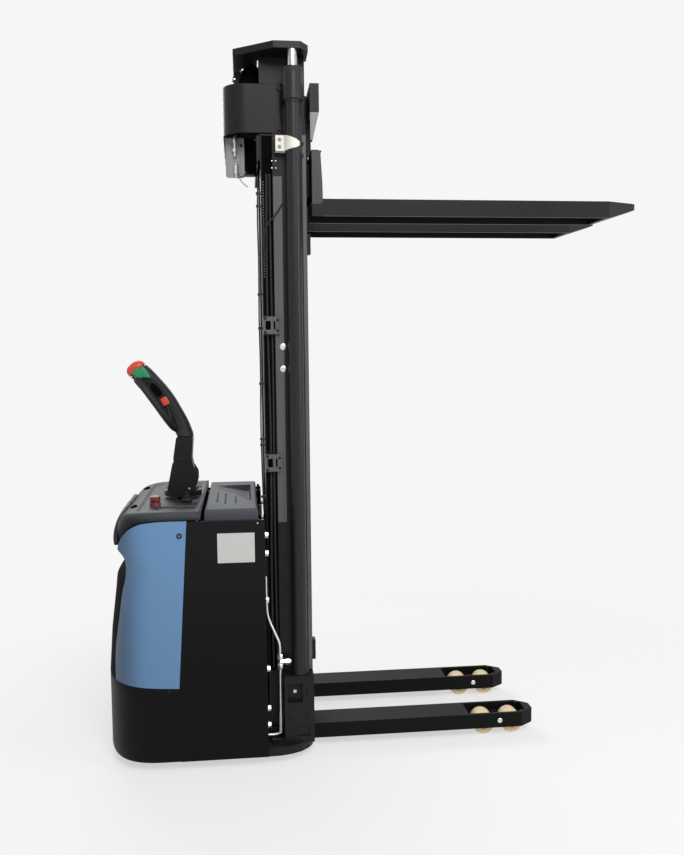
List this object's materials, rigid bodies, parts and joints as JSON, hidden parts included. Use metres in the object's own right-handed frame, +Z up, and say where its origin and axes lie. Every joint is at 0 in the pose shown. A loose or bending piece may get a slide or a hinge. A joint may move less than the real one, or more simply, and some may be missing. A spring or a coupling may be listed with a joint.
{
  "type": "walkie stacker",
  "caption": "Electric pedestrian stacker with straddle legs, a three-stage mast, raised forks on a carriage, a covered drive body and an upright tiller.",
  "frame": {"origin": "bottom centre of the bounding box, on the floor under the wheels", "axes": "+X towards the fork tips, +Y to the machine's left, +Z up"},
  "size_m": [1.94, 0.784, 2.478],
  "materials": {
    "black_paint": "satin",
    "blue_paint": "satin",
    "grey_plastic": "fine texture",
    "black_plastic": "satin",
    "cream_paint": "satin",
    "chrome_rod": "polished",
    "zinc_steel": "zinc plated",
    "cylinder_paint": "gloss",
    "red_plastic": "gloss",
    "orange_plastic": "satin",
    "green_plastic": "satin",
    "polyurethane": "satin",
    "rubber_black": "matte",
    "battery_plastic": "matte",
    "chain_steel": "oiled"
  },
  "bodies": {
    "chassis": {"base_frame": "black_paint", "leg_L": "black_paint", "leg_R": "black_paint", "outer_channel_L": "black_paint", "outer_channel_R": "black_paint", "outer_tie_top": "black_paint", "outer_tie_low": "black_paint", "lift_cylinder_L": "cylinder_paint", "lift_cylinder_R": "cylinder_paint", "cylinder_clamp_L": "cream_paint", "cylinder_clamp_R": "cream_paint", "side_panel_L": "black_paint", "side_panel_R": "black_paint", "blue_cover_L": "blue_paint", "blue_cover_R": "blue_paint", "rear_panel": "black_paint", "skirt": "black_paint", "hood": "grey_plastic", "battery": "battery_plastic", "pump_unit": "black_paint", "hydraulic_pipe_L": "zinc_steel", "hydraulic_pipe_R": "zinc_steel", "mast_cable": "black_plastic"},
    "battery_lid": {"battery_cover": "grey_plastic"},
    "middle_mast": {"middle_channel_L": "black_paint", "middle_channel_R": "black_paint", "middle_tie_low": "black_paint", "top_plate": "black_paint", "cylinder_rod_L": "chrome_rod", "cylinder_rod_R": "chrome_rod", "guard_cover": "black_paint", "hose_bracket": "black_paint"},
    "inner_mast": {"inner_channel_L": "black_paint", "inner_channel_R": "black_paint", "inner_tie_top": "black_paint", "inner_tie_low": "black_paint", "free_lift_cylinder": "cylinder_paint", "lift_chain_rear": "chain_steel"},
    "lift_head": {"free_lift_rod": "chrome_rod"},
    "sheave": {"chain_wheel": "chain_steel"},
    "carriage": {"carriage_frame": "black_paint", "fork_L": "black_paint", "fork_R": "black_paint", "lift_chain_front": "chain_steel"},
    "steer": {"drive_unit": "black_paint", "tiller_base": "black_paint"},
    "drive_wheel": {"drive_wheel": "rubber_black"},
    "tiller": {"tiller_arm": "black_paint", "tiller_handle": "black_plastic"},
    "thumb": {"thumb_switch": "green_plastic"},
    "belly": {"belly_button": "orange_plastic"},
    "horn": {"horn_button": "orange_plastic"},
    "stop": {"stop_button": "red_plastic"},
    "key": {"key_switch": "black_plastic"},
    "bogie_L": {"bogie_L": "black_paint"},
    "load_wheel_rear_L": {"load_wheel_rear_L": "polyurethane"},
    "load_wheel_front_L": {"load_wheel_front_L": "polyurethane"},
    "bogie_R": {"bogie_R": "black_paint"},
    "load_wheel_rear_R": {"load_wheel_rear_R": "polyurethane"},
    "load_wheel_front_R": {"load_wheel_front_R": "polyurethane"}
  },
  "joints": [
    {"name": "middle_mast_slide", "type": "slide", "parent": "chassis", "child": "middle_mast", "axis": [0, 0, 1], "range_m": [0, 1.5]},
    {"name": "inner_mast_slide", "type": "slide", "parent": "middle_mast", "child": "inner_mast", "axis": [0, 0, 1], "range_m": [0, 1.5]},
    {"name": "carriage_slide", "type": "slide", "parent": "inner_mast", "child": "carriage", "axis": [0, 0, 1], "range_m": [-1.864, 0], "deforming": ["lift_chain_front"]},
    {"name": "lift_head_slide", "type": "slide", "parent": "inner_mast", "child": "lift_head", "axis": [0, 0, 1], "range_m": [-0.932, 0], "deforming": ["lift_chain_rear"]},
    {"name": "sheave_spin", "type": "hinge", "parent": "lift_head", "child": "sheave", "pos_m": [-0.32, 0, 2.372], "axis": [0, 1, 0], "continuous": true},
    {"name": "battery_lid_hinge", "type": "hinge", "parent": "chassis", "child": "battery_lid", "pos_m": [-0.422, 0, 0.9], "axis": [0, 1, 0], "range_deg": [0, 80]},
    {"name": "steer_swivel", "type": "hinge", "parent": "chassis", "child": "steer", "pos_m": [-0.699, 0, 0.115], "axis": [0, 0, 1], "range_deg": [-90, 90]},
    {"name": "drive_wheel_spin", "type": "hinge", "parent": "steer", "child": "drive_wheel", "pos_m": [-0.699, 0, 0.115], "axis": [0, 1, 0], "continuous": true},
    {"name": "tiller_pitch", "type": "hinge", "parent": "steer", "child": "tiller", "pos_m": [-0.685, 0, 0.985], "axis": [0, 1, 0], "range_deg": [-60, 0], "stiffness_Nm_per_rad": 15, "springref_deg": 34.38},
    {"name": "thumb_switch_turn", "type": "hinge", "parent": "tiller", "child": "thumb", "pos_m": [-0.825, 0, 1.362], "axis": [0, 1, 0], "range_deg": [-20, 20], "stiffness_Nm_per_rad": 0.5},
    {"name": "belly_button_push", "type": "slide", "parent": "tiller", "child": "belly", "axis": [0.6879, 0, -0.7258], "range_m": [0, 0.004], "stiffness_N_per_m": 800, "springref_m": -0.003},
    {"name": "horn_button_push", "type": "slide", "parent": "tiller", "child": "horn", "axis": [0, 1, 0], "range_m": [0, 0.002], "stiffness_N_per_m": 800},
    {"name": "stop_button_push", "type": "slide", "parent": "chassis", "child": "stop", "axis": [0, 0, -1], "range_m": [0, 0.005], "stiffness_N_per_m": 2000, "springref_m": -0.001},
    {"name": "key_turn", "type": "hinge", "parent": "chassis", "child": "key", "pos_m": [-0.678, -0.115, 0.905], "axis": [0, 0, 1], "range_deg": [0, 90]},
    {"name": "bogie_L_rock", "type": "hinge", "parent": "chassis", "child": "bogie_L", "pos_m": [0.4655, 0.195, 0.048], "axis": [0, 1, 0], "range_deg": [-6, 6]},
    {"name": "load_wheel_rear_L_spin", "type": "hinge", "parent": "bogie_L", "child": "load_wheel_rear_L", "pos_m": [0.412, 0.195, 0.04], "axis": [0, 1, 0], "continuous": true},
    {"name": "load_wheel_front_L_spin", "type": "hinge", "parent": "bogie_L", "child": "load_wheel_front_L", "pos_m": [0.519, 0.195, 0.04], "axis": [0, 1, 0], "continuous": true},
    {"name": "bogie_R_rock", "type": "hinge", "parent": "chassis", "child": "bogie_R", "pos_m": [0.4655, -0.195, 0.048], "axis": [0, 1, 0], "range_deg": [-6, 6]},
    {"name": "load_wheel_rear_R_spin", "type": "hinge", "parent": "bogie_R", "child": "load_wheel_rear_R", "pos_m": [0.412, -0.195, 0.04], "axis": [0, 1, 0], "continuous": true},
    {"name": "load_wheel_front_R_spin", "type": "hinge", "parent": "bogie_R", "child": "load_wheel_front_R", "pos_m": [0.519, -0.195, 0.04], "axis": [0, 1, 0], "continuous": true}
  ],
  "couplings": [
    {"joint": "inner_mast_slide", "follows": "middle_mast_slide", "ratio": 1},
    {"joint": "lift_head_slide", "follows": "carriage_slide", "ratio": 0.5},
    {"joint": "sheave_spin", "follows": "carriage_slide", "rad_per_m": -11.111}
  ]
}
